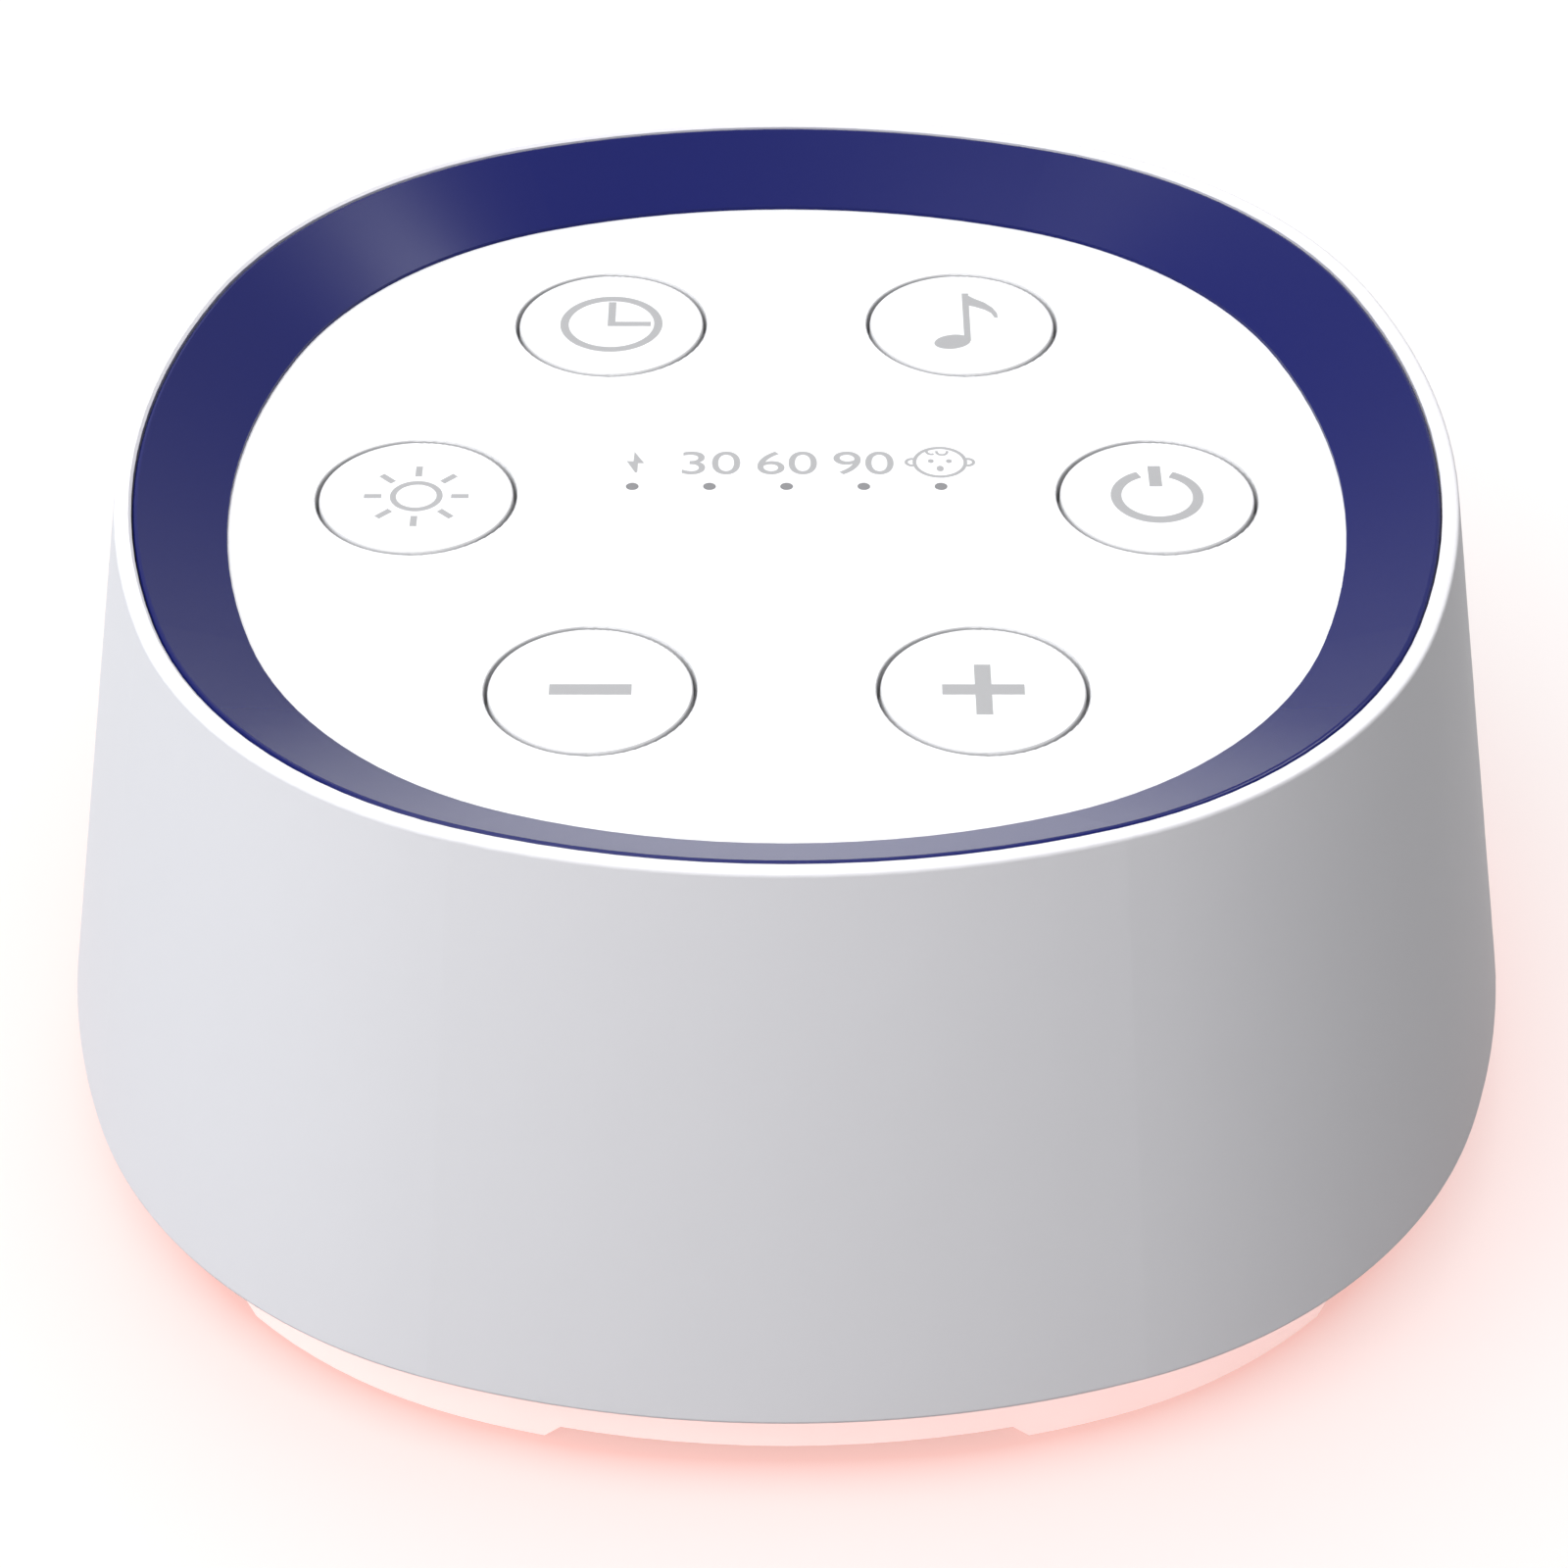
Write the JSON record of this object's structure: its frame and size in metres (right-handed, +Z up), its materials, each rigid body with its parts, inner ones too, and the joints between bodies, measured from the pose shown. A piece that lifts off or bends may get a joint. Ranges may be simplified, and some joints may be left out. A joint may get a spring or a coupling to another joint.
{
  "type": "white noise sound machine",
  "caption": "Table-top white noise machine: drafted rounded-square white housing, dished navy ring, flush push keys, down-firing speaker and a glowing translucent base ring.",
  "frame": {"origin": "on the table under the middle of the machine", "axes": "+Z up; the keypad's power side of the front faces -Y, the charging socket faces +Y, +X is to the right seen from the front"},
  "size_m": [0.1124, 0.1124, 0.0521],
  "materials": {
    "body_white": "satin moulded",
    "trim_navy": "gloss moulded",
    "panel_white": "satin moulded",
    "key_white": "satin moulded, grey printed icon",
    "plunger_white": "moulded",
    "clear_plastic": "clear moulded",
    "glow_diffuser": "translucent, lit pale pink from inside",
    "circuit_board": "solder mask",
    "switch_black": "moulded",
    "led_package": "phosphor and white package",
    "screw_steel": "zinc plated",
    "base_white": "moulded",
    "foot_rubber": "matt",
    "strip_film": "flexible circuit",
    "chip_black": "moulded epoxy",
    "capacitor_can": "can",
    "ferrite": "sintered",
    "connector_ivory": "moulded nylon",
    "socket_steel": "nickel plated",
    "holder_black": "moulded",
    "cell_sleeve": "heat-shrunk sleeve",
    "nickel": "plain",
    "speaker_cloth": "woven acoustic cloth",
    "foam": "closed-cell foam",
    "basket_steel": "black paint",
    "surround_rubber": "matt",
    "cone_paper": "pressed paper",
    "spider_cloth": "resin-dipped cotton",
    "former_paper": "polyimide film",
    "copper_wire": "enamelled",
    "plated_steel": "zinc plated",
    "tag_board": "phenolic board",
    "lead_red": "sleeved wire",
    "lead_black": "sleeved wire",
    "lead_white": "sleeved wire"
  },
  "bodies": {
    "housing": {"body_shell": "body_white", "trim_ring": "trim_navy", "control_panel": "panel_white", "light_guide": "clear_plastic", "control_board": "circuit_board", "switch_bodies": "switch_black", "indicator_leds": "led_package", "control_board_screws": "screw_steel", "trim_screws": "screw_steel", "glow_ring": "glow_diffuser", "base_plate": "base_white", "base_screws": "screw_steel", "rubber_feet": "foot_rubber", "light_strip": "strip_film", "light_strip_leds": "led_package", "main_board": "circuit_board", "main_board_screws": "screw_steel", "main_board_chips": "chip_black", "capacitors": "capacitor_can", "inductor": "ferrite", "wire_connectors": "connector_ivory", "usb_port_shell": "socket_steel", "usb_port_tongue": "chip_black", "battery_holder": "holder_black", "battery_holder_screws": "screw_steel", "battery_cell": "cell_sleeve", "battery_tabs": "nickel", "speaker_mesh": "speaker_cloth", "speaker_gasket": "foam", "speaker_frame": "basket_steel", "speaker_screws": "screw_steel", "speaker_surround": "surround_rubber", "spider": "spider_cloth", "speaker_top_plate": "plated_steel", "speaker_magnet": "ferrite", "speaker_yoke": "plated_steel", "speaker_terminals": "tag_board", "speaker_leads": "lead_red", "battery_lead_positive": "lead_red", "battery_lead_negative": "lead_black", "panel_cable": "lead_white", "light_strip_wires": "lead_white"},
    "light_key": {"light_key": "key_white", "light_key_plunger": "plunger_white"},
    "timer_key": {"timer_key": "key_white", "timer_key_plunger": "plunger_white"},
    "sound_key": {"sound_key": "key_white", "sound_key_plunger": "plunger_white"},
    "power_key": {"power_key": "key_white", "power_key_plunger": "plunger_white"},
    "volume_up_key": {"volume_up_key": "key_white", "volume_up_key_plunger": "plunger_white"},
    "volume_down_key": {"volume_down_key": "key_white", "volume_down_key_plunger": "plunger_white"},
    "speaker_cone_set": {"speaker_cone": "cone_paper", "dust_cap": "cone_paper", "voice_coil_former": "former_paper", "voice_coil_winding": "copper_wire"}
  },
  "joints": [
    {"name": "light_key_press", "type": "slide", "parent": "housing", "child": "light_key", "axis": [0, 0, -1], "range_m": [0, 0.0005], "stiffness_N_per_m": 800},
    {"name": "timer_key_press", "type": "slide", "parent": "housing", "child": "timer_key", "axis": [0, 0, -1], "range_m": [0, 0.0005], "stiffness_N_per_m": 800},
    {"name": "sound_key_press", "type": "slide", "parent": "housing", "child": "sound_key", "axis": [0, 0, -1], "range_m": [0, 0.0005], "stiffness_N_per_m": 800},
    {"name": "power_key_press", "type": "slide", "parent": "housing", "child": "power_key", "axis": [0, 0, -1], "range_m": [0, 0.0005], "stiffness_N_per_m": 800},
    {"name": "volume_up_key_press", "type": "slide", "parent": "housing", "child": "volume_up_key", "axis": [0, 0, -1], "range_m": [0, 0.0005], "stiffness_N_per_m": 800},
    {"name": "volume_down_key_press", "type": "slide", "parent": "housing", "child": "volume_down_key", "axis": [0, 0, -1], "range_m": [0, 0.0005], "stiffness_N_per_m": 800},
    {"name": "cone_travel", "type": "slide", "parent": "housing", "child": "speaker_cone_set", "axis": [0, 0, 1], "range_m": [-0.0008, 0.0008], "stiffness_N_per_m": 1200, "deforming": ["speaker_surround", "spider"]}
  ]
}
